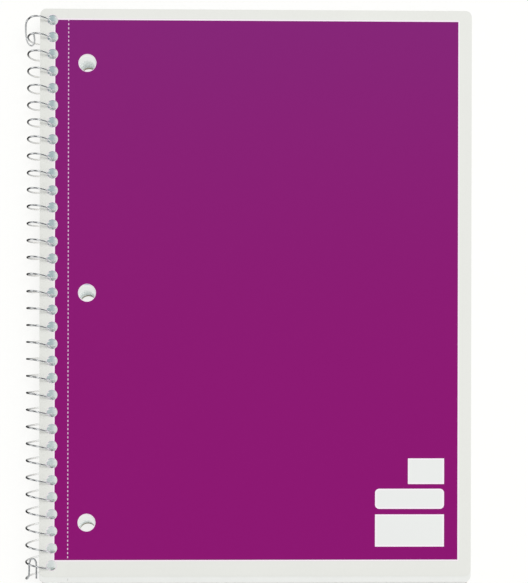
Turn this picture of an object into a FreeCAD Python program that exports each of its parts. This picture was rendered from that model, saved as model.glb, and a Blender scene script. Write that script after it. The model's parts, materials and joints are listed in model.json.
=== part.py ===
import FreeCAD, Part
import Sketcher
import math
import os

# Spiral notebook, closed and lying flat: two card covers and a block of ruled paper, held by one
# steel wire coil.  X runs from the bound edge to the fore edge, Y up the page, Z up.  The origin is
# under the middle of the notebook, on the surface it lies on.

doc = FreeCAD.newDocument("SpiralNotebook")

# ---- Driving sizes (mm) --------------------------------------------------------------------------
SIZES = [
    ("sheet_width", 203.2, "bound edge to fore edge"),
    ("sheet_height", 266.7, "top edge to bottom edge"),
    ("corner_radius", 3.0, "rounding of every corner"),
    ("front_card", 0.3, "thickness of the front cover"),
    ("back_card", 0.6, "thickness of the stiffer back cover"),
    ("paper", 0.09, "thickness of one sheet"),
    ("sheet_count", 70, "number of sheets"),
    ("edge_gap", 0.1, "coil axis to the bound edge"),
    ("coil_radius", 6.5, "coil axis to the middle of the wire"),
    ("wire_size", 0.9, "diameter of the wire"),
    ("coil_pitch", 8.0, "distance between turns, and between coil holes"),
    ("coil_turns", 33, "number of turns, and of coil holes"),
    ("wire_lean", 1.5, "how far each turn leans up the page at its top, and down below"),
    ("wire_slant", 1.15, "how much wider than itself the slanting wire cuts a sheet"),
    ("hole_play", 0.3, "least gap between the wire and the rim of a coil hole"),
    ("turn_runs", 16, "straight runs in one turn of the wire"),
    ("curl_angle", 55.0, "where the curl that ends the wire begins, from level on the left"),
    ("curl_radius", 1.3, "radius of that curl"),
    ("curl_sweep", 200.0, "how far the curl turns the wire back, in degrees"),
    ("curl_runs", 7, "straight runs in a curl"),
    ("hole_sides", 12, "flats of a coil hole, which keep its many copies light"),
    ("ring_hole", 8.0, "diameter of a ring-binder hole"),
    ("ring_inset", 22.2, "bound edge to the middle of a ring-binder hole"),
    ("ring_spacing", 107.95, "distance between ring-binder holes"),
    ("ring_count", 3, "number of ring-binder holes"),
]
sizes = doc.addObject("Spreadsheet::Sheet", "Sizes")
for row, (alias, value, note) in enumerate(SIZES, start=1):
    sizes.set(f"A{row}", alias)
    sizes.set(f"B{row}", str(value))
    sizes.set(f"C{row}", note)
    sizes.setAlias(f"B{row}", alias)
doc.recompute()

# ---- Sizes that follow from them -----------------------------------------------------------------
# A turn of wire passes its hole in the paper at Y = 0 and runs, at an angle a from level on the
# left, at Y = pitch * (180 - a) / 360 + lean * sin(a).  The covers lie a little up and down the page
# from the paper, so that their holes follow the slanting wire as they swing open.
DERIVED = [
    ("block_depth", "Sizes.sheet_count * Sizes.paper"),
    ("half_stack", "(Sizes.front_card + Derived.block_depth + Sizes.back_card) / 2"),
    ("face_angle", "asin(Derived.half_stack / Sizes.coil_radius) / 1 deg"),
    ("far_angle", "acos(min(1; Sizes.coil_pitch / (2 * pi * Sizes.wire_lean))) / 1 deg"),
    ("face_shift", "Sizes.coil_pitch * Derived.face_angle / 360"
                   " + Sizes.wire_lean * sin(Derived.face_angle)"),
    ("far_shift", "Sizes.coil_pitch * (180 - Derived.far_angle) / 360"
                  " + Sizes.wire_lean * sin(Derived.far_angle)"),
    ("stagger", "(Derived.face_shift + Derived.far_shift) / 2"),
    ("hole_centre", "Sizes.coil_radius * (1 + cos(Derived.face_angle)) / 2"),
    ("coil_hole", "max(Derived.far_shift - Derived.face_shift; 2 * Derived.face_shift)"
                  " + Sizes.wire_slant * Sizes.wire_size + 2 * Sizes.hole_play"),
    ("coil_reach", "Sizes.coil_radius + Sizes.wire_size / 2"),
    ("fore_edge", "Sizes.edge_gap + Sizes.sheet_width"),
    ("tilt", "asin(Derived.coil_reach / sqrt(Derived.fore_edge ^ 2 + Derived.half_stack ^ 2))"
             " / 1 deg - atan(Derived.half_stack / Derived.fore_edge) / 1 deg"),
    ("axis_x", "(Derived.coil_reach - Derived.fore_edge * cos(Derived.tilt)"
               " - Derived.half_stack * sin(Derived.tilt)) / 2"),
]
derived = doc.addObject("App::VarSet", "Derived")
for name, formula in DERIVED:
    derived.addProperty("App::PropertyFloat", name)
    derived.setExpression(name, formula)
doc.recompute()


def lay(piece, level="0", shift="0"):
    """Places a piece in the closed notebook, its own origin level above the coil's axis and
    shift up the page.  The notebook leans on its coil, so everything is tilted with it."""
    piece.Placement = FreeCAD.Placement(
        FreeCAD.Vector(), FreeCAD.Rotation(FreeCAD.Vector(0, 1, 0), 1)
    )
    piece.setExpression("Placement.Rotation.Angle", "Derived.tilt * 1 deg")
    piece.setExpression("Placement.Base.x", f"Derived.axis_x + ({level}) * sin(Derived.tilt)")
    piece.setExpression("Placement.Base.y", shift)
    piece.setExpression("Placement.Base.z", f"Derived.coil_reach + ({level}) * cos(Derived.tilt)")


# ---- Covers and paper ----------------------------------------------------------------------------
def plane_sketch(body, name):
    """A sketch on the body's XY plane.  Its origin is on the coil's axis, half way up the page."""
    sketch = body.newObject("Sketcher::SketchObject", name)
    plane = [f for f in body.Origin.OriginFeatures if f.Role == "XY_Plane"][0]
    sketch.AttachmentSupport = [(plane, "")]
    sketch.MapMode = "FlatFace"
    return sketch


def bind(sketch, constraint, name, formula):
    """Adds a dimension to the sketch and ties it to the sizes."""
    index = sketch.addConstraint(constraint)
    sketch.renameConstraint(index, name)
    sketch.setExpression(f"Constraints.{name}", formula)


def outline(body):
    """The outline of a sheet, with square corners."""
    sketch = plane_sketch(body, f"{body.Name}_outline")
    corners = [(1, -9), (9, -9), (9, 9), (1, 9)]
    for (x0, y0), (x1, y1) in zip(corners, corners[1:] + corners[:1]):
        start = FreeCAD.Vector(x0, y0, 0)
        sketch.addGeometry(Part.LineSegment(start, FreeCAD.Vector(x1, y1, 0)), False)
    for side in range(4):
        sketch.addConstraint(Sketcher.Constraint("Coincident", side, 2, (side + 1) % 4, 1))
    for side, kind in enumerate(["Horizontal", "Vertical", "Horizontal"]):
        sketch.addConstraint(Sketcher.Constraint(kind, side))
    sketch.addConstraint(Sketcher.Constraint("Symmetric", 3, 1, 3, 2, -1))
    bind(sketch, Sketcher.Constraint("DistanceX", -1, 1, 3, 2, 1.0), "gap", "Sizes.edge_gap")
    bind(sketch, Sketcher.Constraint("DistanceX", 0, 1, 0, 2, 8.0), "width", "Sizes.sheet_width")
    bind(sketch, Sketcher.Constraint("DistanceY", 1, 1, 1, 2, 18.0), "height", "Sizes.sheet_height")
    return sketch


def circle(sketch, size, inset, top):
    """A circle of the given diameter, inset from the coil's axis, its middle at height top."""
    sketch.addGeometry(Part.Circle(FreeCAD.Vector(5, 5, 0), FreeCAD.Vector(0, 0, 1), 2), False)
    bind(sketch, Sketcher.Constraint("Diameter", 0, 4.0), "size", size)
    bind(sketch, Sketcher.Constraint("DistanceX", -1, 1, 0, 3, 5.0), "inset", inset)
    bind(sketch, Sketcher.Constraint("DistanceY", -1, 1, 0, 3, 5.0), "top", top)


def flat_sided(sketch, sides):
    """Turns the sketch's circle into a guide for an even polygon with its corners on it."""
    doc.recompute()
    guide = sketch.Geometry[0]
    sketch.setConstruction(0, True)
    corners = [
        guide.Center + FreeCAD.Vector(math.cos(turn), math.sin(turn), 0) * guide.Radius
        for turn in [2 * math.pi * n / sides for n in range(sides)]
    ]
    for side in range(1, sides + 1):
        line = Part.LineSegment(corners[side - 1], corners[side % sides])
        sketch.addGeometry(line, False)
        sketch.addConstraint(Sketcher.Constraint("PointOnObject", side, 1, 0))
    for side in range(1, sides):
        sketch.addConstraint(Sketcher.Constraint("Coincident", side, 2, side + 1, 1))
        sketch.addConstraint(Sketcher.Constraint("Equal", side, side + 1))
    sketch.addConstraint(Sketcher.Constraint("Coincident", sides, 2, 1, 1))
    sketch.addConstraint(Sketcher.Constraint("Horizontal", 0, 3, 1, 1))


def punch(body, name, size, inset, count, spacing, sides=0):
    """A row of holes up the page, inset from the coil's axis, cut from the top one down.
    They are round, or have that many sides."""
    before = body.Tip.Shape.Volume
    sketch = plane_sketch(body, f"{body.Name}_{name}_outline")
    if sides:
        circle(sketch, f"{size} / cos(180 / {sides})", inset, f"({count} - 1) / 2 * {spacing}")
        flat_sided(sketch, sides)
    else:
        circle(sketch, size, inset, f"({count} - 1) / 2 * {spacing}")
    hole = body.newObject("PartDesign::Pocket", f"{body.Name}_{name}")
    hole.Profile = sketch
    hole.Type = "ThroughAll"
    hole.Reversed = True
    row = body.newObject("PartDesign::LinearPattern", f"{body.Name}_{name}_row")
    row.Originals = [hole]
    row.Direction = (sketch, ["V_Axis"])
    row.Reversed = True
    row.setExpression("Length", f"({count} - 1) * {spacing}")
    row.setExpression("Occurrences", count)
    body.Tip = row
    doc.recompute()
    assert row.Shape.Volume < before, f"{name} cuts nothing out of {body.Label}"


def leaf(label, thickness, level, shift):
    """A cover or the block of paper: a rounded sheet with its coil holes and ring holes."""
    body = doc.addObject("PartDesign::Body", label)
    body.Label = label
    sheet = body.newObject("PartDesign::Pad", f"{label}_sheet")
    sheet.Profile = outline(body)
    sheet.setExpression("Length", thickness)
    doc.recompute()
    upright = [
        f"Edge{n}"
        for n, edge in enumerate(sheet.Shape.Edges, start=1)
        if abs(edge.tangentAt(edge.FirstParameter).z) > 0.99
    ]
    rounded = body.newObject("PartDesign::Fillet", f"{label}_corners")
    rounded.Base = (sheet, upright)
    rounded.setExpression("Radius", "Sizes.corner_radius")
    body.Tip = rounded
    doc.recompute()
    punch(body, "coil_holes", "Derived.coil_hole", "Derived.hole_centre",
          "Sizes.coil_turns", "Sizes.coil_pitch", int(sizes.hole_sides))
    punch(body, "ring_holes", "Sizes.ring_hole", "Sizes.edge_gap + Sizes.ring_inset",
          "Sizes.ring_count", "Sizes.ring_spacing")
    lay(body, level, shift)
    return body


back_cover = leaf(
    "back_cover", "Sizes.back_card", "-Derived.half_stack", "-Derived.stagger"
)
page_block = leaf(
    "page_block", "Derived.block_depth", "Sizes.back_card - Derived.half_stack", "0"
)
front_cover = leaf(
    "front_cover", "Sizes.front_card", "Derived.half_stack - Sizes.front_card",
    "Derived.stagger"
)


# ---- Wire coil -----------------------------------------------------------------------------------
def around(radius, angle, y):
    """A point beside the coil's axis, its angle measured over the top from level on the left."""
    turn = math.radians(angle)
    return FreeCAD.Vector(-radius * math.cos(turn), y, radius * math.sin(turn))


def coil_point(angle):
    """A point of the wire.  The angle runs on from 0 to 360 for each turn, top turn first."""
    rise = sizes.coil_pitch * (180 - angle) / 360
    lean = sizes.wire_lean * math.sin(math.radians(angle))
    top_hole = (sizes.coil_turns - 1) / 2 * sizes.coil_pitch
    return around(sizes.coil_radius, angle, top_hole + rise + lean)


def curl(start, before):
    """The curl that ends the wire at start: it turns towards the middle of the coil and back."""
    ahead = (start - before).normalize()
    inward = FreeCAD.Vector(0, -math.copysign(1, start.y), 0)
    bends = [
        math.radians(sizes.curl_sweep) * run / sizes.curl_runs
        for run in range(1, int(sizes.curl_runs) + 1)
    ]
    return [
        start + (ahead * math.sin(bend) + inward * (1 - math.cos(bend))) * sizes.curl_radius
        for bend in bends
    ]


first, last = sizes.curl_angle, 360 * sizes.coil_turns - sizes.curl_angle
runs = round((last - first) * sizes.turn_runs / 360)
turns = [coil_point(first + (last - first) * n / runs) for n in range(runs + 1)]
route = curl(turns[0], turns[1])[::-1] + turns + curl(turns[-1], turns[-2])

wire_route = doc.addObject("Part::Feature", "wire_route")
wire_route.Shape = Part.makePolygon(route)
wire_end = doc.addObject("Part::RegularPolygon", "wire_end")
wire_end.Polygon = 6
wire_end.setExpression("Circumradius", "Sizes.wire_size / 2")
wire_end.Placement = FreeCAD.Placement(
    route[0], FreeCAD.Rotation(FreeCAD.Vector(0, 0, 1), route[1] - route[0])
)
wire_coil = doc.addObject("Part::Sweep", "wire_coil")
wire_coil.Sections = [wire_end]
wire_coil.Spine = wire_route
wire_coil.Solid = True
wire_coil.Transition = "Right corner"
lay(wire_coil)
doc.recompute()

# ---- Checks and files ----------------------------------------------------------------------------
for item in doc.Objects:
    assert not {"Invalid", "Error"} & set(item.State), f"{item.Label} failed: {item.State}"
os.makedirs("parts", exist_ok=True)
for piece in [front_cover, page_block, back_cover, wire_coil]:
    shape = piece.Shape
    assert not shape.isNull() and shape.isValid(), f"{piece.Label} has no valid shape"
    assert len(shape.Solids) == 1, f"{piece.Label} is not one solid"
    shape.exportStep(f"parts/{piece.Label}.step")
    box = shape.BoundBox
    print(f"{piece.Label}: {shape.Volume:.1f} mm3, x {box.XMin:.2f} to {box.XMax:.2f},"
          f" y {box.YMin:.2f} to {box.YMax:.2f}, z {box.ZMin:.2f} to {box.ZMax:.2f}")
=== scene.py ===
# %% [markdown]
# # A spiral notebook
# A school notebook lies closed on a white table: a card cover with a printed panel, seventy ruled
# sheets, a stiff board at the back, and one long steel wire that winds through all of them.  The
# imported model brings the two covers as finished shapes, so here they only get their print and
# their finish.  The paper and the wire are modelled again, because loose sheets and a round
# springy wire are what the eye looks for first.

# %% Load the model that everything is fitted to
import json
import math
import random

import bpy
from mathutils import Matrix, Vector


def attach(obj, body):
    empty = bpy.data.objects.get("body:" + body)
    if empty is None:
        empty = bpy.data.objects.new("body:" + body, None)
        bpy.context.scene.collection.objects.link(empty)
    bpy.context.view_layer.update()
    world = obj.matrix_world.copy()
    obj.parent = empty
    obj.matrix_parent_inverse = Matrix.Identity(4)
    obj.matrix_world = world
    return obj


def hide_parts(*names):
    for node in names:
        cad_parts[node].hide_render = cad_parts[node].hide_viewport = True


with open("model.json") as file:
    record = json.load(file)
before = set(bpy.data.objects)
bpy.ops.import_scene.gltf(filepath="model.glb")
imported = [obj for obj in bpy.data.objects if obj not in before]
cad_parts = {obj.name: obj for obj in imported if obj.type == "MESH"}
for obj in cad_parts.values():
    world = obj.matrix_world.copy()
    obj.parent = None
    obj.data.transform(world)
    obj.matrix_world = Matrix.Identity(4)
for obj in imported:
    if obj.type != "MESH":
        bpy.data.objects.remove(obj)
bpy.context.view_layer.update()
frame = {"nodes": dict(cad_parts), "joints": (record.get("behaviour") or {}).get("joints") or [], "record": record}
MM = 0.001
random.seed(7)

# %% [markdown]
# ## Where the notebook lies
# The closed notebook leans on its coil, so all of it is tipped by less than a degree.  It is far
# easier to model sheets lying level, with the coil's axis as the origin, and to lay the finished
# piece in place at the end.  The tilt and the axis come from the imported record: the hinge gives the
# axis, and the ring holes give the tilt, the depth of the paper and how far the covers are
# staggered up and down the page.

# %% Read the tilt, the axis and the ring holes
ring_holes = {mount["name"]: mount for mount in frame["record"]["mounts"]}
page_hole = ring_holes["page_ring_hole_middle"]
AXIS = Vector(frame["joints"][0]["pos_m"])
TILT = math.asin(page_hole["axis"][0])
LAID = Matrix.Translation(AXIS) @ Matrix.Rotation(TILT, 4, "Y")


def level_place(mount):
    """A ring hole's middle as it is before the notebook is tipped."""
    return LAID.inverted() @ Vector(mount["pos_m"])


PAPER_DEPTH = page_hole["dims"]["length_mm"] * MM
RING_HOLE = page_hole["dims"]["r_mm"] * MM
RING_X = level_place(page_hole).x
RING_SPACING = level_place(ring_holes["page_ring_hole_top"]).y
STAGGER = level_place(ring_holes["front_cover_ring_hole_middle"]).y
PAPER_FLOOR = level_place(page_hole).z - PAPER_DEPTH / 2
PAPER_TOP = PAPER_FLOOR + PAPER_DEPTH
print(f"tilt {math.degrees(TILT):.3f} deg, paper {PAPER_DEPTH / MM:.1f} mm, "
      f"covers staggered {STAGGER / MM:.2f} mm")

# %% Sizes of a sheet and its coil holes
LEFT_EDGE = 0.1 * MM
RIGHT_EDGE = 203.3 * MM
HALF_HEIGHT = 133.35 * MM
CORNER = 3.0 * MM
HOLE_X = 5.956 * MM
HOLE_SIZE = 4.79 * MM
PITCH = 8.0 * MM
TURNS = 33
TOP_HOLE = (TURNS - 1) / 2 * PITCH
print(f"{TURNS} coil holes over {2 * TOP_HOLE / MM:.0f} mm")

# %% [markdown]
# ## Small helpers for modelling
# Every operator works on what is selected, so nothing may be left selected from the step before.
# A finished piece keeps its place in its mesh, with its object at the origin, as the parts of the
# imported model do: `settle` tips a level piece into the notebook in that way.

# %% Helpers: a clean selection, one material, and laying a piece in place


def clear_selection():
    """Leaves nothing selected."""
    bpy.ops.object.select_all(action="DESELECT")


def pick(piece):
    """Selects one object only, and makes it the active one."""
    clear_selection()
    piece.select_set(True)
    bpy.context.view_layer.objects.active = piece


def dress(piece, material):
    """Gives a piece one material in place of what it had."""
    piece.data.materials.clear()
    piece.data.materials.append(material)


def settle(piece, body):
    """Lays a level piece in the tipped notebook, and lets it ride on a body."""
    piece.data.transform(LAID @ piece.matrix_basis)
    piece.matrix_basis = Matrix.Identity(4)
    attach(piece, body)


# %% [markdown]
# ## Building materials from nodes
# A material is a small tree of nodes.  Written out in full it is long and hard to read, so a few
# helpers keep it short: one adds a node and fills or links its inputs, one does a step of
# arithmetic, one lays a colour over another.  All sizes in the trees are metres on the level sheet.

# %% Helpers: a node, a step of arithmetic, a blend and a colour


def put(tree, kind, inputs=None, **settings):
    """Adds a node, sets its properties, and fills or links its inputs by name or number."""
    made = tree.nodes.new(kind)
    for name, value in settings.items():
        setattr(made, name, value)
    for name, value in (inputs or {}).items():
        if isinstance(value, bpy.types.NodeSocket):
            tree.links.new(value, made.inputs[name])
        else:
            made.inputs[name].default_value = value
    return made


def calc(tree, operation, first, second=0.0, third=0.0):
    """One step of arithmetic between sockets or plain numbers."""
    inputs = {0: first, 1: second, 2: third}
    return put(tree, "ShaderNodeMath", inputs, operation=operation).outputs[0]


def blend(tree, mask, below, above):
    """Lays one colour over another where the mask is white.

    A Mix node has sockets for numbers, vectors and colours: 0, 6, 7 and output 2 are in use here.
    """
    inputs = {0: mask, 6: below, 7: above}
    return put(tree, "ShaderNodeMix", inputs, data_type="RGBA").outputs[2]


def colour(red, green, blue):
    """A colour given in the usual 0 to 255 steps, as the linear values that shaders use."""
    def linear(step):
        share = step / 255
        return share / 12.92 if share <= 0.04045 else ((share + 0.055) / 1.055) ** 2.4
    return (linear(red), linear(green), linear(blue), 1.0)


print("card grey in linear light:", [round(v, 3) for v in colour(233, 234, 228)[:3]])

# %% [markdown]
# ## Masks for print and punching
# What a printer or a punch does to a sheet is a matter of places: a panel with straight edges, rows
# of dashes, a rim round each hole.  Each is drawn from the sheet's own coordinates, which a Mapping
# node in Texture mode gives by undoing the tilt.  Nothing slides when a cover swings open, because
# the coordinates belong to the piece.

# %% Helpers: the level sheet's coordinates and simple shapes on it


def sheet_place(tree, shift=0.0):
    """X, Y and Z on the level sheet, Y measured from its own middle."""
    place = put(tree, "ShaderNodeTexCoord")
    level = put(tree, "ShaderNodeMapping", {
        "Vector": place.outputs["Object"],
        "Location": AXIS,
        "Rotation": (0.0, TILT, 0.0),
    }, vector_type="TEXTURE")
    parts = put(tree, "ShaderNodeSeparateXYZ", {0: level.outputs[0]})
    return parts.outputs[0], calc(tree, "SUBTRACT", parts.outputs[1], shift), parts.outputs[2]


def box_distance(tree, x, y, left, right, low, high, rounding=0.0):
    """How far a place is outside a rectangle, below zero inside it."""
    across = calc(tree, "ABSOLUTE", calc(tree, "SUBTRACT", x, (left + right) / 2))
    along = calc(tree, "ABSOLUTE", calc(tree, "SUBTRACT", y, (low + high) / 2))
    over_x = calc(tree, "SUBTRACT", across, (right - left) / 2 - rounding)
    over_y = calc(tree, "SUBTRACT", along, (high - low) / 2 - rounding)
    corner_x = calc(tree, "MAXIMUM", over_x, 0.0)
    corner_y = calc(tree, "MAXIMUM", over_y, 0.0)
    square = calc(tree, "MULTIPLY_ADD", corner_y, corner_y,
                  calc(tree, "MULTIPLY", corner_x, corner_x))
    inside = calc(tree, "MINIMUM", calc(tree, "MAXIMUM", over_x, over_y), 0.0)
    outside = calc(tree, "ADD", calc(tree, "SQRT", square), inside)
    return calc(tree, "SUBTRACT", outside, rounding)


def repeat_distance(tree, value, spacing, start):
    """How far a value is from the nearest of evenly spaced places."""
    steps = calc(tree, "DIVIDE", calc(tree, "SUBTRACT", value, start), spacing)
    nearest = calc(tree, "ROUND", steps)
    off = calc(tree, "ABSOLUTE", calc(tree, "SUBTRACT", steps, nearest))
    return calc(tree, "MULTIPLY", off, spacing)


def length(tree, x, y):
    """The length of a step across and a step along."""
    return calc(tree, "SQRT", calc(tree, "MULTIPLY_ADD", y, y, calc(tree, "MULTIPLY", x, x)))


# %% Helpers: start a shader node group, and use one


def new_group(name, inputs, outputs):
    """An empty shader group with float inputs and the outputs asked for."""
    tree = bpy.data.node_groups.new(name, "ShaderNodeTree")
    for label, value in inputs.items():
        socket = tree.interface.new_socket(label, in_out="INPUT", socket_type="NodeSocketFloat")
        socket.default_value = value
    for label, kind in outputs.items():
        tree.interface.new_socket(label, in_out="OUTPUT", socket_type=kind)
    return tree, tree.nodes.new("NodeGroupInput"), tree.nodes.new("NodeGroupOutput")


def use_group(tree, group, **inputs):
    """Places a shader group in a material, with its own values."""
    values = {name.capitalize(): value for name, value in inputs.items()}
    return put(tree, "ShaderNodeGroup", values, node_tree=group)


# %% [markdown]
# ## Punched rims
# A punch crushes card and board a little round each hole, so ink flakes off there and the bare core
# shows as a thin pale ring.  Several materials need those places, so it is a group: it puts out a
# mask of the coil holes and the ring holes with a rim round them.  With a wider rim the same mask
# places the painted shade on the paper round the holes, and finds where the walls of the holes are.

# %% Group: the rims of the punched holes
rims, rims_in, rims_out = new_group(
    "punched_rims", {"Shift": 0.0, "Width": 0.4 * MM}, {"Mask": "NodeSocketFloat"}
)
rim_x, rim_y, _ = sheet_place(rims, rims_in.outputs["Shift"])
gaps = []
for row_x, spacing, radius in (HOLE_X, PITCH, HOLE_SIZE / 2), (RING_X, RING_SPACING, RING_HOLE):
    across = calc(rims, "SUBTRACT", rim_x, row_x)
    along = repeat_distance(rims, rim_y, spacing, 0.0)
    gaps.append(calc(rims, "SUBTRACT", length(rims, across, along), radius))
rim_mask = calc(rims, "LESS_THAN", calc(rims, "MINIMUM", *gaps), rims_in.outputs["Width"])
rims.links.new(rim_mask, rims_out.inputs["Mask"])
print("group made:", rims.name)

# %% [markdown]
# ## Perforation
# The sheets tear out along a dotted line beside the coil, and the cover is cut with the same
# wheel.  The group puts out a mask of short slots in one straight row.

# %% Group: the row of small slots
SLOT_X = 13.5 * MM
SLOT_PITCH = 1.94 * MM
slots, slots_in, slots_out = new_group(
    "tear_line", {"Shift": 0.0, "Long": 1.0 * MM, "Wide": 0.5 * MM}, {"Mask": "NodeSocketFloat"}
)
slot_x, slot_y, _ = sheet_place(slots, slots_in.outputs["Shift"])
slot_across = calc(slots, "ABSOLUTE", calc(slots, "SUBTRACT", slot_x, SLOT_X))
slot_along = repeat_distance(slots, slot_y, SLOT_PITCH, 0.0)
half_wide = calc(slots, "MULTIPLY", slots_in.outputs["Wide"], 0.5)
half_long = calc(slots, "MULTIPLY", slots_in.outputs["Long"], 0.5)
in_width = calc(slots, "LESS_THAN", slot_across, half_wide)
in_length = calc(slots, "LESS_THAN", slot_along, half_long)
slot_mask = calc(slots, "MULTIPLY", in_width, in_length)
slots.links.new(slot_mask, slots_out.inputs["Mask"])
print("group made:", slots.name)

# %% [markdown]
# ## Fibres
# Paper, card and board are felted fibres.  Close up they are a little cloudy in colour and softly
# uneven to the touch.  One group serves all three, with a coarse or fine scale: a broad noise for
# the clouds, and a fine stretched noise for single fibres.

# %% Group: paper fibres
FINE_SHARE = 0.45
fibre, fibre_in, fibre_out = new_group(
    "paper_fibres", {"Scale": 900.0, "Clouds": 40.0},
    {"Shade": "NodeSocketFloat", "Height": "NodeSocketFloat"},
)
fibre_place = put(fibre, "ShaderNodeTexCoord")
fibre_stretch = put(fibre, "ShaderNodeMapping", {
    "Vector": fibre_place.outputs["Object"], "Scale": (1.0, 0.35, 1.0),
})
fibre_fine = put(fibre, "ShaderNodeTexNoise", {
    "Vector": fibre_stretch.outputs[0], "Scale": fibre_in.outputs["Scale"],
    "Detail": 4.0, "Roughness": 0.6,
})
fibre_cloud = put(fibre, "ShaderNodeTexNoise", {
    "Vector": fibre_place.outputs["Object"], "Scale": fibre_in.outputs["Clouds"], "Detail": 3.0,
})
fine_part = calc(fibre, "MULTIPLY", fibre_fine.outputs["Fac"], FINE_SHARE)
cloud_part = calc(fibre, "MULTIPLY", fibre_cloud.outputs["Fac"], 1.0 - FINE_SHARE)
fibre_shade = calc(fibre, "ADD", fine_part, cloud_part)
fibre.links.new(fibre_shade, fibre_out.inputs["Shade"])
fibre.links.new(fibre_fine.outputs["Fac"], fibre_out.inputs["Height"])
print("group made:", fibre.name)

# %% [markdown]
# ## Starting a material
# Each material here has one Principled shader, and its plain values are set by the names of their
# sockets.  The relief of paper and card is far too fine to model, so a Bump node makes it from a
# height map.

# %% Helpers: start a material with its shader, and raise its surface


def new_material(name, **values):
    """A material with one Principled shader, whose plain values are set on its sockets."""
    made = bpy.data.materials.new(name)
    made.use_nodes = True
    tree = made.node_tree
    shader = tree.nodes["Principled BSDF"]
    for label, value in values.items():
        shader.inputs[label.replace("_", " ")].default_value = value
    return made, tree, shader


def bump(tree, shader, height, depth, strength=1.0):
    """Raises the surface by a height map, depth metres high."""
    made = put(tree, "ShaderNodeBump", {
        "Height": height, "Distance": depth, "Strength": strength,
    })
    tree.links.new(made.outputs[0], shader.inputs["Normal"])


# %% [markdown]
# ## The printed cover
# The front cover is thin white card, coated on the outside and printed with one large panel that
# stops a few millimetres short of each edge.  The ink is a deep magenta purple, and the panel is
# drawn a touch bluer and lighter towards the top; a hair of bare white shows round it where ink and
# border meet.  Three small white fields near the lower corner are left bare.  The inside is plain
# card.  The outside is told from the inside by the surface's own normal.

# %% Sizes of the print
PANEL = {"left": 7.25 * MM, "right": 196.95 * MM, "low": -125.55 * MM, "high": 128.15 * MM}
HAIRLINE = 0.6 * MM
FIELDS = [
    {"left": 173.5 * MM, "right": 190.6 * MM, "low": -89.9 * MM, "high": -77.8 * MM},
    {"left": 158.0 * MM, "right": 190.6 * MM, "low": -101.6 * MM, "high": -92.1 * MM,
     "rounding": 2.0 * MM},
    {"left": 158.0 * MM, "right": 190.6 * MM, "low": -119.4 * MM, "high": -104.2 * MM},
]
FIELD_FRAME = 0.7 * MM
RIM_WIDTH = 0.2 * MM
panel_area = (PANEL["right"] - PANEL["left"]) * (PANEL["high"] - PANEL["low"])
print(f"printed panel {panel_area * 1e4:.0f} cm2")

# %% Colours of the print
CARD = (colour(229, 230, 225), colour(238, 239, 234))
INK_FOOT, INK_HEAD = colour(142, 16, 114), colour(132, 36, 120)
INK_CLOUD = colour(144, 24, 120)
CLOUD_SHARE = 0.25
HAIRLINE_TONE = colour(250, 238, 248)
FIELD_TONES = ((0.0, colour(250, 243, 249)), (-FIELD_FRAME, colour(237, 239, 237)))
RIM_TONE = colour(250, 230, 246)
SLOT_TONE = colour(226, 190, 218)
CARD_INSIDE = (colour(226, 226, 221), colour(238, 238, 233))
print("ink at the foot in linear light:", [round(v, 3) for v in INK_FOOT[:3]])

# %% Material: printed card
printed_card, tree, shader = new_material(
    "printed_card", Roughness=0.42, Specular_IOR_Level=0.08
)
x, y, _ = sheet_place(tree, STAGGER)
card_fibre = use_group(tree, fibre, scale=1400.0, clouds=25.0)
border = blend(tree, card_fibre.outputs["Shade"], *CARD)
panel_off = box_distance(tree, x, y, **PANEL)
in_panel = calc(tree, "LESS_THAN", panel_off, 0.0)
# The panel is drawn a touch bluer and lighter towards the top.
up_page = put(tree, "ShaderNodeMapRange", {
    "Value": y, "From Min": PANEL["low"], "From Max": PANEL["high"],
}).outputs[0]
ink_plain = blend(tree, calc(tree, "POWER", up_page, 2.0), INK_FOOT, INK_HEAD)
ink_place = put(tree, "ShaderNodeTexCoord").outputs["Object"]
ink_cloud = put(tree, "ShaderNodeTexNoise", {"Vector": ink_place, "Scale": 9.0, "Detail": 2.0})
ink_step = calc(tree, "MULTIPLY", ink_cloud.outputs["Fac"], CLOUD_SHARE)
ink = blend(tree, ink_step, ink_plain, INK_CLOUD)
in_hairline = calc(tree, "LESS_THAN", panel_off, HAIRLINE)
outside = blend(tree, in_panel, blend(tree, in_hairline, border, HAIRLINE_TONE), ink)
for field in FIELDS:
    field_off = box_distance(tree, x, y, **field)
    for inset, tone in FIELD_TONES:
        outside = blend(tree, calc(tree, "LESS_THAN", field_off, inset), outside, tone)
rim = use_group(tree, rims, shift=STAGGER, width=RIM_WIDTH)
outside = blend(tree, rim.outputs["Mask"], outside, RIM_TONE)
slot = use_group(tree, slots, shift=STAGGER)
slot_in_panel = calc(tree, "MULTIPLY", slot.outputs["Mask"], in_panel)
outside = blend(tree, slot_in_panel, outside, SLOT_TONE)
print("nodes in the outside of the card:", len(tree.nodes))

# %% Material: printed card, inside and finish
PLAIN_ROUGH = 0.5
INK_SMOOTHER = -0.1
FIBRE_ROUGHER = 0.06
FIBRE_RELIEF = 0.12
own_normal = put(tree, "ShaderNodeTexCoord").outputs["Normal"]
facing = put(tree, "ShaderNodeSeparateXYZ", {0: own_normal}).outputs[2]
is_outside = calc(tree, "GREATER_THAN", facing, 0.5)
inside_card = blend(tree, card_fibre.outputs["Shade"], *CARD_INSIDE)
tree.links.new(blend(tree, is_outside, inside_card, outside), shader.inputs["Base Color"])
on_ink = calc(tree, "MULTIPLY", is_outside, in_panel)
rough = calc(tree, "MULTIPLY_ADD", on_ink, INK_SMOOTHER, PLAIN_ROUGH)
rough = calc(tree, "MULTIPLY_ADD", card_fibre.outputs["Height"], FIBRE_ROUGHER, rough)
tree.links.new(rough, shader.inputs["Roughness"])
slot_dent = calc(tree, "MULTIPLY_ADD", slot.outputs["Mask"], -1.0,
                 calc(tree, "MULTIPLY", card_fibre.outputs["Height"], FIBRE_RELIEF))
bump(tree, shader, slot_dent, depth=0.08 * MM, strength=0.6)
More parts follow.
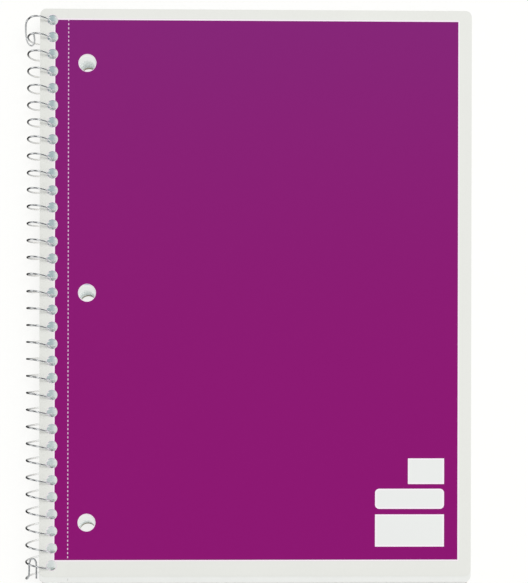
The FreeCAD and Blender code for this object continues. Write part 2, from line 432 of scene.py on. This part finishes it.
dress(frame["nodes"]["front_cover"], printed_card)
print("front cover finished:", printed_card.name)

# %% [markdown]
# ## The back board
# The back cover is thicker grey-brown board, pressed from mixed waste fibres.  It is uncoated, so
# it is rough, speckled with darker bits, and paler at the crushed rims of its holes.

# %% Material: grey-brown board
BOARD = (colour(170, 159, 141), colour(190, 180, 162))
SPECK_TONE = colour(112, 98, 82)
SPECK_REACH = 0.12
BOARD_RIM_TONE = colour(208, 199, 184)
BOARD_RIM_WIDTH = 0.4 * MM
BOARD_MARKS = 0.5
back_board, tree, shader = new_material(
    "grey_board", Roughness=0.85, IOR=1.4, Specular_IOR_Level=0.2
)
board_fibre = use_group(tree, fibre, scale=520.0, clouds=60.0)
board = blend(tree, board_fibre.outputs["Shade"], *BOARD)
board_place = put(tree, "ShaderNodeTexCoord").outputs["Object"]
specks = put(tree, "ShaderNodeTexVoronoi", {
    "Vector": board_place, "Scale": 420.0, "Randomness": 1.0,
})
speck = calc(tree, "LESS_THAN", specks.outputs["Distance"], SPECK_REACH)
rim = use_group(tree, rims, shift=-STAGGER, width=BOARD_RIM_WIDTH)
for mask, tone in (speck, SPECK_TONE), (rim.outputs["Mask"], BOARD_RIM_TONE):
    board = blend(tree, calc(tree, "MULTIPLY", mask, BOARD_MARKS), board, tone)
tree.links.new(board, shader.inputs["Base Color"])
rough = calc(tree, "MULTIPLY_ADD", board_fibre.outputs["Height"], 0.15, 0.75)
tree.links.new(rough, shader.inputs["Roughness"])
bump(tree, shader, board_fibre.outputs["Height"], depth=0.05 * MM, strength=0.7)
dress(frame["nodes"]["back_cover"], back_board)
print("back cover finished:", back_board.name)

# %% [markdown]
# ## Ruled paper
# The sheets are thin white writing paper: fine blue lines 8.7 mm apart below a wider head margin,
# and one red line down the side.  The ink has soaked in, so the lines are faint and have no gloss.
# Both sides of a sheet are ruled alike, so one material does for the top and the bottom of the
# block.  Round its holes the paper is darkened blue-grey with painted shade from the cover's holes
# and the wire, strongest round the coil holes, on the side of the coil and towards the head.

# %% Sizes and colours of the ruling
LINE_PITCH = 8.73 * MM
HEAD_LINE = HALF_HEIGHT - 39.4 * MM
FOOT_LINE = -HALF_HEIGHT + 9.0 * MM
MARGIN_X = 45.0 * MM
MARGIN_FOOT = -HALF_HEIGHT + 4.0 * MM
LINE_WIDTH = 0.35 * MM
RULED_FROM = 9.5 * MM
# The painted shade round the holes: its rim width, its reach from the coil holes and its colour.
HOLE_SHADE_WIDTH = 1.7 * MM
HOLE_SHADE_REACH = 2.4 * MM
PAPER_WHITE = (colour(232, 234, 231), colour(244, 245, 242))
BLUE_LINE, RED_LINE = colour(146, 178, 214), colour(222, 130, 142)
LINE_STRENGTH = 0.75
HOLE_SHADE_TONE = colour(172, 189, 191)
SLOT_SHADE = colour(196, 198, 197)
SLOT_STRENGTH = 0.5
print("paper rule:", round(LINE_PITCH / MM, 1), "mm")

# %% Material: ruled writing paper
ruled_paper, tree, shader = new_material(
    "ruled_paper", Roughness=0.8, IOR=1.4, Specular_IOR_Level=0.15
)
x, y, _ = sheet_place(tree)
paper_fibre = use_group(tree, fibre, scale=1100.0, clouds=70.0)
paper = blend(tree, paper_fibre.outputs["Shade"], *PAPER_WHITE)
line_off = repeat_distance(tree, y, LINE_PITCH, HEAD_LINE)
on_line = calc(tree, "LESS_THAN", line_off, LINE_WIDTH / 2)
ruled = box_distance(tree, x, y, RULED_FROM, RIGHT_EDGE * 2, FOOT_LINE, HEAD_LINE + LINE_WIDTH)
on_line = calc(tree, "MULTIPLY", on_line, calc(tree, "LESS_THAN", ruled, 0.0))
margin_off = calc(tree, "ABSOLUTE", calc(tree, "SUBTRACT", x, MARGIN_X))
on_margin = calc(tree, "LESS_THAN", margin_off, LINE_WIDTH / 2)
above_foot = calc(tree, "GREATER_THAN", y, MARGIN_FOOT)
on_margin = calc(tree, "MULTIPLY", on_margin, above_foot)
for mask, tone in (on_line, BLUE_LINE), (on_margin, RED_LINE):
    paper = blend(tree, calc(tree, "MULTIPLY", mask, LINE_STRENGTH), paper, tone)
print("nodes in the ruling:", len(tree.nodes))

# %% Material: ruled writing paper, with painted shade round the holes, and cut for tearing
# Painted shade: round the holes the paper is darkened blue-grey, strongest round the coil holes towards the head
# and beside the coil.
hole_shade_rims = use_group(tree, rims, width=HOLE_SHADE_WIDTH)
hole_shade_along = put(tree, "ShaderNodeMapRange", {
    "Value": y, "From Min": -TOP_HOLE, "From Max": 0.0, "To Min": 0.35, "To Max": 1.0,
}).outputs[0]
hole_shade_across = put(tree, "ShaderNodeMapRange", {
    "Value": x, "From Min": HOLE_X, "From Max": HOLE_X + HOLE_SHADE_REACH,
    "To Min": 1.1, "To Max": 0.15,
}).outputs[0]
above_last = calc(tree, "GREATER_THAN", y, -TOP_HOLE - HOLE_SIZE / 2)
hole_shade_weight = calc(tree, "MULTIPLY", hole_shade_along, calc(tree, "MULTIPLY", hole_shade_across, above_last))
hole_shade_mask = calc(tree, "MULTIPLY", hole_shade_rims.outputs["Mask"], hole_shade_weight)
paper = blend(tree, hole_shade_mask, paper, HOLE_SHADE_TONE)
slot = use_group(tree, slots)
slot_mark = calc(tree, "MULTIPLY", slot.outputs["Mask"], SLOT_STRENGTH)
paper = blend(tree, slot_mark, paper, SLOT_SHADE)
tree.links.new(paper, shader.inputs["Base Color"])
paper_height = calc(tree, "MULTIPLY_ADD", slot.outputs["Mask"], -1.0,
                    calc(tree, "MULTIPLY", paper_fibre.outputs["Height"], 0.3))
bump(tree, shader, paper_height, depth=0.03 * MM, strength=0.6)
print("paper finished:", ruled_paper.name)

# %% [markdown]
# ## The cut edges of the paper
# From the side the block shows the edges of seventy sheets, as fine dark and light lines that are
# never quite even.  Seventy separate sheets would be heavy, so the block is cut into thin wads,
# shifted a little against each other, and each wad carries the lines of its sheets in its
# material, counted from the height.  Thin paper lets some light through, so the walls of the holes
# are never dark: a faint glow stands in for that.

# %% Material: cut paper edges
PAPER = 0.09 * MM
HALF_LAYER = 0.36
GAP_TONE = colour(232, 234, 233)
EDGE_TONES = (colour(243, 245, 243), colour(253, 253, 251))
GLOW_TONE = colour(222, 236, 236)
GLOW_REACH = 1.0 * MM
GLOW_STRENGTH = 0.15
cut_paper, tree, shader = new_material(
    "cut_paper_edges", Roughness=0.9, IOR=1.4, Specular_IOR_Level=0.1
)
sheets_up = calc(tree, "DIVIDE", sheet_place(tree)[2], PAPER)
layer = calc(tree, "FRACT", sheets_up)
solid = calc(tree, "COMPARE", layer, 0.5, HALF_LAYER)
sheet_number = calc(tree, "FLOOR", sheets_up)
sheet_shade = put(tree, "ShaderNodeTexWhiteNoise", {"W": sheet_number}, noise_dimensions="1D")
edge_fibre = use_group(tree, fibre, scale=700.0, clouds=90.0)
edge_shade = calc(tree, "MULTIPLY_ADD", sheet_shade.outputs["Value"], 0.5,
                  calc(tree, "MULTIPLY", edge_fibre.outputs["Shade"], 0.5))
edges = blend(tree, solid, GAP_TONE, blend(tree, edge_shade, *EDGE_TONES))
tree.links.new(edges, shader.inputs["Base Color"])
bump(tree, shader, solid, depth=0.03 * MM, strength=0.5)
in_hole = use_group(tree, rims, width=GLOW_REACH)
hole_glow = calc(tree, "MULTIPLY", in_hole.outputs["Mask"], GLOW_STRENGTH)
tree.links.new(hole_glow, shader.inputs["Emission Strength"])
shader.inputs["Emission Color"].default_value = GLOW_TONE
print("sheets in the block:", round(PAPER_DEPTH / PAPER))

# %% [markdown]
# ## A punched sheet
# A sheet starts as a plane, gets its four rounded corners from a vertex bevel and its thickness
# from an extrusion.  The punch is a row of upright cylinders joined into one cutter, taken away
# with a Boolean modifier.  That gives clean round holes and closed walls, and the same function
# makes the single sheets and the thicker wads.  At the end each sheet is sheared with its height,
# so that the block's foot lies a little further down the page than its top.

# %% Helper: the punch
OVERSHOOT = 2 * MM
COIL_HOLE_SIDES = 20
RING_HOLE_SIDES = 48


def make_punch(low, high):
    """Upright cylinders where a sheet is punched, reaching from low to high, as one object."""
    middle = (low + high) / 2
    coil = [(HOLE_X, TOP_HOLE - turn * PITCH, HOLE_SIZE / 2, COIL_HOLE_SIDES)
            for turn in range(TURNS)]
    rings = [(RING_X, step * RING_SPACING, RING_HOLE, RING_HOLE_SIDES) for step in (-1, 0, 1)]
    cutters = []
    for cut_x, cut_y, radius, corners in coil + rings:
        bpy.ops.mesh.primitive_cylinder_add(
            vertices=corners, radius=radius, depth=high - low, location=(cut_x, cut_y, middle)
        )
        cutters.append(bpy.context.object)
    clear_selection()
    for cutter in cutters:
        cutter.select_set(True)
    bpy.context.view_layer.objects.active = cutters[0]
    bpy.ops.object.join()
    bpy.ops.object.transform_apply(location=True, rotation=True, scale=True)
    return bpy.context.object


# %% Helpers: the sheet, and its place in the block
FAN_TOP = 0.0 * MM
FAN_FOOT = -2.3 * MM


def make_sheet(name, low, high):
    """A level sheet or wad with rounded corners and punched holes, from low to high."""
    clear_selection()
    bpy.ops.mesh.primitive_plane_add(
        size=1.0, location=((LEFT_EDGE + RIGHT_EDGE) / 2, 0.0, low)
    )
    sheet = bpy.context.object
    sheet.name = name
    sheet.scale = (RIGHT_EDGE - LEFT_EDGE, 2 * HALF_HEIGHT, 1.0)
    bpy.ops.object.transform_apply(location=True, rotation=True, scale=True)
    bpy.ops.object.mode_set(mode="EDIT")
    bpy.ops.mesh.select_all(action="SELECT")
    bpy.ops.mesh.bevel(offset=CORNER, segments=8, affect="VERTICES")
    bpy.ops.mesh.select_all(action="SELECT")
    bpy.ops.mesh.extrude_region_move(TRANSFORM_OT_translate={"value": (0.0, 0.0, high - low)})
    bpy.ops.mesh.select_all(action="SELECT")
    bpy.ops.mesh.normals_make_consistent(inside=False)
    bpy.ops.object.mode_set(mode="OBJECT")
    punch = make_punch(low - OVERSHOOT, high + OVERSHOOT)
    pick(sheet)
    cut = sheet.modifiers.new("punch", "BOOLEAN")
    cut.operation = "DIFFERENCE"
    cut.solver = "EXACT"
    cut.object = punch
    bpy.ops.object.modifier_apply(modifier="punch")
    bpy.data.objects.remove(punch)
    return sheet


def finish_sheet(sheet, material):
    """Fans a sheet with the stack, gives it its paper, and lays it with the pages."""
    slope = (FAN_TOP - FAN_FOOT) / PAPER_DEPTH
    lean = Matrix.Identity(4)
    lean[1][2] = slope
    lean[1][3] = FAN_FOOT - slope * PAPER_FLOOR
    sheet.data.transform(lean)
    dress(sheet, material)
    settle(sheet, "pages_and_coil")


# %% Build the first and the last sheet
SKIN = 0.01 * MM
top_sheet = make_sheet("top_sheet", PAPER_TOP - SKIN - PAPER, PAPER_TOP - SKIN)
bottom_sheet = make_sheet("bottom_sheet", PAPER_FLOOR + SKIN, PAPER_FLOOR + SKIN + PAPER)
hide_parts("page_block")
for sheet in (top_sheet, bottom_sheet):
    finish_sheet(sheet, ruled_paper)
    print(sheet.name, "has", len(sheet.data.polygons), "faces")

# %% [markdown]
# ## The block of wads
# Between those two sheets lie the others.  One wad is modelled and copied up the block, each copy
# nudged sideways by a tenth of a millimetre or so, as sheets settle when a notebook is handled.
# The slanting wire also draws each sheet a little further up the page than the one below it, so the
# whole block fans between the staggered covers, and its foot shows below the front cover.

# %% Build one wad and copy it up the block
WADS = 20
NUDGE = 0.14 * MM
wads_low = PAPER_FLOOR + SKIN + PAPER
wads_high = PAPER_TOP - SKIN - PAPER
wad_depth = (wads_high - wads_low) / WADS
first_wad = make_sheet("paper_wad_01", wads_low, wads_low + wad_depth)
wads = [first_wad]
for number in range(2, WADS + 1):
    wad = first_wad.copy()
    wad.data = first_wad.data.copy()
    wad.name = f"paper_wad_{number:02d}"
    wad.data.transform(Matrix.Translation((
        random.uniform(-NUDGE, NUDGE),
        random.uniform(-NUDGE, NUDGE),
        (number - 1) * wad_depth,
    )))
    bpy.context.scene.collection.objects.link(wad)
    wads.append(wad)
for wad in wads:
    finish_sheet(wad, cut_paper)
print(f"{WADS} wads of {wad_depth / MM:.3f} mm, {len(first_wad.data.polygons)} faces each")

# %% [markdown]
# ## The coil
# The spine is one piece of steel wire.  Seen from the end it is a circle; seen from above each turn
# leans, climbing the page over the top and dropping back below, because the wire was fed in from
# one end by a turning machine.  Springy wire never sits quite true: near the head the turns are
# pressed in and almost level, and towards the foot they slope more.  A NURBS path follows that law
# turn by turn, its points a hair outside the round it makes.  At each end the wire is bent back as
# a small hook, so that it can't screw itself out, and those few points are listed: the upper
# hook goes round the second turn, the lower one lies inside the coil.

# %% The law of the turns
WIRE = 0.8 * MM
COIL_RADIUS = 6.5 * MM
STEPS = 24
POINT_RADIUS = COIL_RADIUS * 3 / (2 + math.cos(math.radians(360 / STEPS)))
LEANS = (3.2 * MM, 0.6 * MM)
SETTLED = (-1.3 * MM, 0.1 * MM)
SQUEEZE = 0.5 * MM
HELD_FROM, HELD_MOST, HELD_TO = 60, 215, 300


def held(angle):
    """How much the leaves hold the wire in its hole: 1 inside the back cover, 0 at the left."""
    turn = angle % 360
    if turn < HELD_FROM or turn > HELD_TO:
        return 0.0
    if turn < HELD_MOST:
        share = (turn - HELD_FROM) / (HELD_MOST - HELD_FROM)
    else:
        share = (HELD_TO - turn) / (HELD_TO - HELD_MOST)
    return (1 - math.cos(math.pi * share)) / 2


def between(ends, share):
    """A value part of the way from the first to the second."""
    return ends[0] + (ends[1] - ends[0]) * share


def wire_point(angle):
    """A place on the wire, the angle running on by 360 degrees for each turn."""
    turn = math.radians(angle)
    down = angle / (360 * TURNS)
    lean = between(LEANS, down)
    settled = between(SETTLED, down)
    squeeze = SQUEEZE * (1 - down) * (1 + math.cos(turn)) / 2
    rise = PITCH * (180 - angle) / 360 + lean * math.sin(turn) + settled * (1 - held(angle))
    return Vector((
        squeeze - POINT_RADIUS * math.cos(turn),
        TOP_HOLE + rise,
        POINT_RADIUS * math.sin(turn),
    ))


print(f"lean of the turns half way down: {between(LEANS, 0.5) / MM:.1f} mm")

# %% The course of the wire, with its two hooks
UPPER_HOOK = [
    (-3.6, 125.6, 0.6), (-3.15, 124.2, 0.6), (-2.9, 122.3, 0.5), (-3.1, 120.5, 0.3),
    (-4.0, 119.3, 0.0), (-5.25, 119.5, -0.3), (-6.4, 120.7, -0.5), (-7.0, 122.7, -0.5),
    (-7.2, 125.0, -0.2), (-7.2, 127.4, 0.4), (-7.0, 129.5, 1.2), (-6.35, 130.9, 2.2),
    (-5.2, 131.5, 3.3),
]
LOWER_HOOK = [
    (-6.1, -131.95, 1.6), (-5.5, -131.7, 2.1), (-4.95, -130.8, 2.35), (-4.7, -129.3, 2.4),
    (-4.7, -127.3, 2.4), (-4.7, -125.3, 2.4), (-4.55, -123.8, 2.4), (-4.0, -122.6, 2.4),
    (-3.0, -122.15, 2.4), (-2.0, -122.6, 2.4), (-1.45, -123.8, 2.4), (-1.3, -125.3, 2.4),
    (-1.3, -127.3, 2.4), (-1.3, -129.3, 2.4), (-1.3, -131.6, 2.4),
]
ANGLES = (48.0, 360.0 * TURNS + 2.0)
count = round((ANGLES[1] - ANGLES[0]) / 360 * STEPS)
turning = [
    wire_point(ANGLES[0] + (ANGLES[1] - ANGLES[0]) * step / count) for step in range(count + 1)
]
course = [Vector(p) * MM for p in UPPER_HOOK] + turning + [Vector(p) * MM for p in LOWER_HOOK]
print(len(course), "points along the wire")

# %% Build the wire
clear_selection()
bpy.ops.curve.primitive_nurbs_path_add()
wire = bpy.context.object
wire.name = "steel_coil"
wire.location = (0.0, 0.0, 0.0)
wire.data.splines.clear()
path = wire.data.splines.new("NURBS")
path.points.add(len(course) - 1)
for point, place in zip(path.points, course):
    point.co = (*place, 1.0)
path.order_u = 4
path.use_endpoint_u = True
path.resolution_u = 2
wire.data.dimensions = "3D"
wire.data.bevel_depth = WIRE / 2
wire.data.bevel_resolution = 3
wire.data.use_fill_caps = True
pick(wire)
bpy.ops.object.convert(target="MESH")
wire = bpy.context.object
bpy.ops.object.shade_smooth()
print("wire:", len(wire.data.polygons), "faces")

# %% [markdown]
# ## Bright steel
# Galvanised spring wire is bright but not a mirror.  Its zinc is a little cloudy, so the metal's
# colour and roughness vary along the wire.  The lower half of the coil lies between the white table
# and the white paper, which light it from close by, and a faint glow that grows downwards stands
# in for that.

# %% Material: bright steel wire
ZINC = (colour(214, 217, 220), colour(244, 246, 247))
ZINC_SMOOTHEST = 0.12
ZINC_CLOUDING = 0.12
BELOW_TONE = colour(246, 246, 244)
steel, tree, shader = new_material("bright_steel_wire", Metallic=1.0, Roughness=0.25)
wire_place = put(tree, "ShaderNodeTexCoord").outputs["Object"]
zinc = put(tree, "ShaderNodeTexNoise", {"Vector": wire_place, "Scale": 900.0, "Detail": 3.0})
tree.links.new(blend(tree, zinc.outputs["Fac"], *ZINC), shader.inputs["Base Color"])
steel_rough = calc(tree, "MULTIPLY_ADD", zinc.outputs["Fac"], ZINC_CLOUDING, ZINC_SMOOTHEST)
tree.links.new(steel_rough, shader.inputs["Roughness"])
bump(tree, shader, zinc.outputs["Fac"], depth=0.01 * MM, strength=0.2)
lit_below = put(tree, "ShaderNodeMapRange", {
    "Value": sheet_place(tree)[2], "From Min": 1.5 * MM, "From Max": -2.0 * MM,
    "To Min": 0.0, "To Max": 0.5,
}).outputs[0]
tree.links.new(lit_below, shader.inputs["Emission Strength"])
shader.inputs["Emission Color"].default_value = BELOW_TONE
dress(wire, steel)
settle(wire, "pages_and_coil")
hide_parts("wire_coil")
print("coil finished:", steel.name)

# %% [markdown]
# ## The table
# The notebook lies on a plain white table that runs out of sight.  To the camera, and in the metal,
# the table is pure white, while a share of it still takes the light, so that the soft shadow round
# the notebook stays.

# %% Helper: the rays that show a thing, and not only its light


def seen_rays(tree):
    """1 for a ray from the camera, off metal or through something clear, and 0 for the rest."""
    rays = put(tree, "ShaderNodeLightPath")
    seen = calc(tree, "MAXIMUM", rays.outputs["Is Camera Ray"], rays.outputs["Is Glossy Ray"])
    return calc(tree, "MAXIMUM", seen, rays.outputs["Is Transmission Ray"])


# %% Build the table
TABLE_SIZE = 4.0
TABLE_CUTS = 7
SEEN_SHARE = 0.78
TABLE_TONE = (0.86, 0.86, 0.85, 1.0)
SEEN_TONE = (1.0, 1.0, 0.985, 1.0)
clear_selection()
bpy.ops.mesh.primitive_plane_add(size=TABLE_SIZE, location=(0.0, 0.0, 0.0))
table = bpy.context.object
table.name = "white_table"
bpy.ops.object.mode_set(mode="EDIT")
bpy.ops.mesh.subdivide(number_cuts=TABLE_CUTS)
bpy.ops.object.mode_set(mode="OBJECT")
white_table, tree, shader = new_material("white_table_top", Roughness=0.9)
shader.inputs["Base Color"].default_value = TABLE_TONE
glow = put(tree, "ShaderNodeEmission", {"Color": SEEN_TONE, "Strength": 1.05})
share = calc(tree, "MULTIPLY", seen_rays(tree), SEEN_SHARE)
mixed = put(tree, "ShaderNodeMixShader", {
    0: share, 1: shader.outputs[0], 2: glow.outputs[0],
})
tree.links.new(mixed.outputs[0], tree.nodes["Material Output"].inputs["Surface"])
dress(table, white_table)
print("table:", TABLE_SIZE, "m wide")

# %% [markdown]
# ## Light
# A studio tent: even light from all round, and one large soft lamp above the upper right corner,
# which gives the gentle shadow inside the holes and along the left and lower edges.  The tent looks
# pure white, but its light on the notebook is weaker than that.  Bright wire only looks like wire
# if it has something dark to mirror.  So black cards, which only reflections show, stand round the
# notebook, hang over it and lie beside it.  Reflections leave the lamp out: a slit between the two
# upper cards makes the highlight on each turn.

# %% Set the world
TENT = 0.68
world = bpy.data.worlds.new("studio_tent")
bpy.context.scene.world = world
world.use_nodes = True
tree = world.node_tree
background = tree.nodes["Background"]
strength = calc(tree, "MULTIPLY_ADD", seen_rays(tree), 1.0 - TENT, TENT)
tree.links.new(strength, background.inputs["Strength"])
background.inputs["Color"].default_value = (1.0, 1.0, 1.0, 1.0)
print("world:", world.name)

# %% Set the lamp, turned to the notebook
LAMP_PLACE = (1.3, 1.1, 2.6)
LAMP_SIZE = 1.5
LAMP_POWER = 37.0
clear_selection()
bpy.ops.object.light_add(type="AREA", location=LAMP_PLACE)
lamp = bpy.context.object
lamp.name = "soft_lamp"
lamp.data.size = LAMP_SIZE
lamp.data.energy = LAMP_POWER
lamp.visible_glossy = False
lamp.rotation_euler = (-lamp.location).to_track_quat("-Z", "Y").to_euler()
print("lamp power:", lamp.data.energy, "W")

# %% Helper: a level black card
CARD_SPAN = 1.4
CARD_LENGTH = 2.6
ROOF_LEVEL = 0.8
SLIT = (-0.44, -0.07)


def flat_card(name, ends, level):
    """A level black card between two places along X, as long as the walls."""
    clear_selection()
    bpy.ops.mesh.primitive_plane_add(size=1.0, location=(sum(ends) / 2, 0.0, level))
    made = bpy.context.object
    made.name = name
    made.scale = (ends[1] - ends[0], CARD_LENGTH, 1.0)
    bpy.ops.object.transform_apply(location=True, rotation=True, scale=True)
    return made


# %% Stand the black cards where only reflections show them
FLOOR_LEVEL = 0.4 * MM
WALL_LIFT = 1 * MM
MATT_BLACK = (0.03, 0.03, 0.03, 1.0)
clear_selection()
bpy.ops.mesh.primitive_cube_add(size=1.0, location=(0.0, 0.0, ROOF_LEVEL / 2 + WALL_LIFT))
card_walls = bpy.context.object
card_walls.name = "black_card_walls"
card_walls.scale = (2 * CARD_SPAN, CARD_LENGTH, ROOF_LEVEL)
bpy.ops.object.transform_apply(location=True, rotation=True, scale=True)
for face in card_walls.data.polygons:
    face.select = abs(face.normal.z) > 0.5
bpy.ops.object.mode_set(mode="EDIT")
bpy.ops.mesh.select_mode(type="FACE")
bpy.ops.mesh.delete(type="FACE")
bpy.ops.object.mode_set(mode="OBJECT")
cards = [
    card_walls,
    flat_card("black_card_roof_left", (-CARD_SPAN, SLIT[0]), ROOF_LEVEL),
    flat_card("black_card_roof_right", (SLIT[1], CARD_SPAN), ROOF_LEVEL),
    flat_card("black_card_floor", (-CARD_SPAN, SLIT[1]), FLOOR_LEVEL),
]
black_card, tree, shader = new_material("black_card", Roughness=0.9)
shader.inputs["Base Color"].default_value = MATT_BLACK
for card in cards:
    dress(card, black_card)
    card.visible_camera = False
    card.visible_diffuse = False
    card.visible_transmission = False
    card.visible_shadow = False
    print("black card:", card.name)

# %% [markdown]
# ## Camera
# The camera hangs straight above the notebook, a little right of its middle, so that more of the
# table shows on the right than on the left.

# %% Set the camera
COVER_LEVEL = 8.9 * MM
CAMERA_HEIGHT = 584.0 * MM
CAMERA_PLACE = (7.3 * MM, 3.6 * MM, COVER_LEVEL + CAMERA_HEIGHT)
CAMERA_TURN = math.radians(0.12)
VIEW_ANGLE = math.radians(26.44)
clear_selection()
bpy.ops.object.camera_add(location=CAMERA_PLACE)
camera = bpy.context.object
camera.name = "camera_above"
camera.rotation_euler = (0.0, 0.0, CAMERA_TURN)
camera.data.sensor_width = 36.0
camera.data.lens = camera.data.sensor_width / 2 / math.tan(VIEW_ANGLE / 2)
bpy.context.scene.camera = camera
bpy.context.scene.view_settings.view_transform = "Standard"
print(f"lens {camera.data.lens:.1f} mm")
